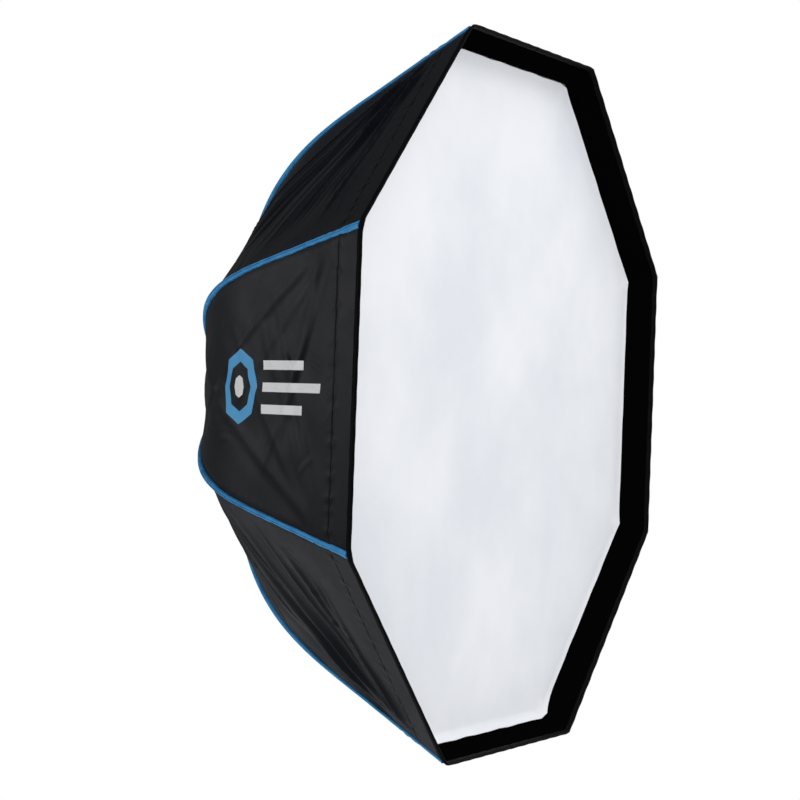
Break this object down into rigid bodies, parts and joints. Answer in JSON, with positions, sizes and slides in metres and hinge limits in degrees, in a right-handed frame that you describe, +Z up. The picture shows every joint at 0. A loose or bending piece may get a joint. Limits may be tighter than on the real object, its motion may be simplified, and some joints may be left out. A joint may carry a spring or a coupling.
{
  "type": "studio softbox",
  "caption": "Folding octagonal softbox: black cloth shell with blue seam tapes on sprung ribs, white diffusers, recessed lip and a rotating bayonet mount ring.",
  "frame": {"origin": "on the optical axis, on the plane where the mount ring's seat meets the light", "axes": "-Y out of the open front, +Z up, +Y towards the light along the optical axis"},
  "size_m": [0.8844, 0.4265, 0.8844],
  "materials": {
    "shell_cloth": "black coated nylon cloth with a faint sheen",
    "seam_tape": "woven blue polyester tape",
    "diffuser_cloth": "matt white translucent nylon cloth",
    "cast_aluminium": "satin, machined",
    "spring_steel": "bright drawn rod",
    "moulded_nylon": "black moulded, fine grain"
  },
  "bodies": {
    "light_ring": {"bayonet_ring": "cast_aluminium", "retaining_ring": "cast_aluminium"},
    "hub": {"hub_ring": "moulded_nylon", "guide_cage": "spring_steel", "rear_collar": "shell_cloth", "latch_housing": "moulded_nylon", "latch_spring": "spring_steel"},
    "clamp_knob": {"clamp_knob": "moulded_nylon"},
    "latch_button": {"latch_button": "moulded_nylon"},
    "runner": {"runner_ring": "moulded_nylon"},
    "rib_1": {"rib_1": "spring_steel", "tip_cap_1": "moulded_nylon", "panel_1": "shell_cloth", "seam_tape_1": "seam_tape"},
    "rib_2": {"rib_2": "spring_steel", "tip_cap_2": "moulded_nylon", "panel_2": "shell_cloth", "seam_tape_2": "seam_tape"},
    "rib_3": {"rib_3": "spring_steel", "tip_cap_3": "moulded_nylon", "panel_3": "shell_cloth", "seam_tape_3": "seam_tape"},
    "rib_4": {"rib_4": "spring_steel", "tip_cap_4": "moulded_nylon", "panel_4": "shell_cloth", "seam_tape_4": "seam_tape"},
    "rib_5": {"rib_5": "spring_steel", "tip_cap_5": "moulded_nylon", "panel_5": "shell_cloth", "seam_tape_5": "seam_tape"},
    "rib_6": {"rib_6": "spring_steel", "tip_cap_6": "moulded_nylon", "panel_6": "shell_cloth", "seam_tape_6": "seam_tape"},
    "rib_7": {"rib_7": "spring_steel", "tip_cap_7": "moulded_nylon", "panel_7": "shell_cloth", "seam_tape_7": "seam_tape"},
    "rib_8": {"rib_8": "spring_steel", "tip_cap_8": "moulded_nylon", "panel_8": "shell_cloth", "seam_tape_8": "seam_tape"},
    "strut_1": {"strut_1": "cast_aluminium"},
    "strut_2": {"strut_2": "cast_aluminium"},
    "strut_3": {"strut_3": "cast_aluminium"},
    "strut_4": {"strut_4": "cast_aluminium"},
    "strut_5": {"strut_5": "cast_aluminium"},
    "strut_6": {"strut_6": "cast_aluminium"},
    "strut_7": {"strut_7": "cast_aluminium"},
    "strut_8": {"strut_8": "cast_aluminium"},
    "front_diffuser": {"front_diffuser": "diffuser_cloth"},
    "inner_diffuser": {"inner_diffuser": "diffuser_cloth"}
  },
  "joints": [
    {"name": "hub_turn", "type": "hinge", "parent": "light_ring", "child": "hub", "pos_m": [0, 0, 0], "axis": [0, 1, 0], "continuous": true},
    {"name": "frame_fold", "type": "hinge", "parent": "hub", "child": "rib_1", "pos_m": [0.0858, -0.02576, 0.03554], "axis": [0.3827, 0, -0.9239], "range_deg": [0, 44], "deforming": ["panel_1", "panel_2", "panel_3", "panel_4", "panel_5", "panel_6", "panel_7", "panel_8", "front_diffuser", "inner_diffuser"]},
    {"name": "rib_2_fold", "type": "hinge", "parent": "hub", "child": "rib_2", "pos_m": [0.03554, -0.02576, 0.0858], "axis": [0.9239, 0, -0.3827], "range_deg": [0, 44]},
    {"name": "rib_3_fold", "type": "hinge", "parent": "hub", "child": "rib_3", "pos_m": [-0.03554, -0.02576, 0.0858], "axis": [0.9239, 0, 0.3827], "range_deg": [0, 44]},
    {"name": "rib_4_fold", "type": "hinge", "parent": "hub", "child": "rib_4", "pos_m": [-0.0858, -0.02576, 0.03554], "axis": [0.3827, 0, 0.9239], "range_deg": [0, 44]},
    {"name": "rib_5_fold", "type": "hinge", "parent": "hub", "child": "rib_5", "pos_m": [-0.0858, -0.02576, -0.03554], "axis": [-0.3827, 0, 0.9239], "range_deg": [0, 44]},
    {"name": "rib_6_fold", "type": "hinge", "parent": "hub", "child": "rib_6", "pos_m": [-0.03554, -0.02576, -0.0858], "axis": [-0.9239, 0, 0.3827], "range_deg": [0, 44]},
    {"name": "rib_7_fold", "type": "hinge", "parent": "hub", "child": "rib_7", "pos_m": [0.03554, -0.02576, -0.0858], "axis": [-0.9239, 0, -0.3827], "range_deg": [0, 44]},
    {"name": "rib_8_fold", "type": "hinge", "parent": "hub", "child": "rib_8", "pos_m": [0.0858, -0.02576, -0.03554], "axis": [-0.3827, 0, -0.9239], "range_deg": [0, 44]},
    {"name": "runner_slide", "type": "slide", "parent": "hub", "child": "runner", "axis": [0, 1, 0], "range_m": [0, 0.02834]},
    {"name": "strut_1_swing", "type": "hinge", "parent": "runner", "child": "strut_1", "pos_m": [0.07299, -0.057, 0.03023], "axis": [0.3827, 0, -0.9239], "range_deg": [0, 50.89]},
    {"name": "strut_2_swing", "type": "hinge", "parent": "runner", "child": "strut_2", "pos_m": [0.03023, -0.057, 0.07299], "axis": [0.9239, 0, -0.3827], "range_deg": [0, 50.89]},
    {"name": "strut_3_swing", "type": "hinge", "parent": "runner", "child": "strut_3", "pos_m": [-0.03023, -0.057, 0.07299], "axis": [0.9239, 0, 0.3827], "range_deg": [0, 50.89]},
    {"name": "strut_4_swing", "type": "hinge", "parent": "runner", "child": "strut_4", "pos_m": [-0.07299, -0.057, 0.03023], "axis": [0.3827, 0, 0.9239], "range_deg": [0, 50.89]},
    {"name": "strut_5_swing", "type": "hinge", "parent": "runner", "child": "strut_5", "pos_m": [-0.07299, -0.057, -0.03023], "axis": [-0.3827, 0, 0.9239], "range_deg": [0, 50.89]},
    {"name": "strut_6_swing", "type": "hinge", "parent": "runner", "child": "strut_6", "pos_m": [-0.03023, -0.057, -0.07299], "axis": [-0.9239, 0, 0.3827], "range_deg": [0, 50.89]},
    {"name": "strut_7_swing", "type": "hinge", "parent": "runner", "child": "strut_7", "pos_m": [0.03023, -0.057, -0.07299], "axis": [-0.9239, 0, -0.3827], "range_deg": [0, 50.89]},
    {"name": "strut_8_swing", "type": "hinge", "parent": "runner", "child": "strut_8", "pos_m": [0.07299, -0.057, -0.03023], "axis": [-0.3827, 0, -0.9239], "range_deg": [0, 50.89]},
    {"name": "clamp_knob_turn", "type": "hinge", "parent": "hub", "child": "clamp_knob", "pos_m": [0, -0.0074, -0.1], "axis": [0, 0, -1], "continuous": true},
    {"name": "latch_press", "type": "slide", "parent": "hub", "child": "latch_button", "axis": [0, 1, 0], "range_m": [0, 0.003], "stiffness_N_per_m": 300, "springref_m": -0.002, "deforming": ["latch_spring"]},
    {"name": "front_diffuser_off", "type": "slide", "parent": "hub", "child": "front_diffuser", "axis": [0, -1, 0], "range_m": [0, 0.21]},
    {"name": "inner_diffuser_off", "type": "slide", "parent": "hub", "child": "inner_diffuser", "axis": [0, -1, 0], "range_m": [0, 0.1]}
  ],
  "couplings": [
    {"joint": "rib_2_fold", "follows": "frame_fold", "ratio": 1},
    {"joint": "rib_3_fold", "follows": "frame_fold", "ratio": 1},
    {"joint": "rib_4_fold", "follows": "frame_fold", "ratio": 1},
    {"joint": "rib_5_fold", "follows": "frame_fold", "ratio": 1},
    {"joint": "rib_6_fold", "follows": "frame_fold", "ratio": 1},
    {"joint": "rib_7_fold", "follows": "frame_fold", "ratio": 1},
    {"joint": "rib_8_fold", "follows": "frame_fold", "ratio": 1},
    {"joint": "runner_slide", "follows": "frame_fold", "m_per_rad": 0.036893},
    {"joint": "strut_1_swing", "follows": "frame_fold", "ratio": 1.1563},
    {"joint": "strut_2_swing", "follows": "frame_fold", "ratio": 1.1563},
    {"joint": "strut_3_swing", "follows": "frame_fold", "ratio": 1.1563},
    {"joint": "strut_4_swing", "follows": "frame_fold", "ratio": 1.1563},
    {"joint": "strut_5_swing", "follows": "frame_fold", "ratio": 1.1563},
    {"joint": "strut_6_swing", "follows": "frame_fold", "ratio": 1.1563},
    {"joint": "strut_7_swing", "follows": "frame_fold", "ratio": 1.1563},
    {"joint": "strut_8_swing", "follows": "frame_fold", "ratio": 1.1563}
  ]
}
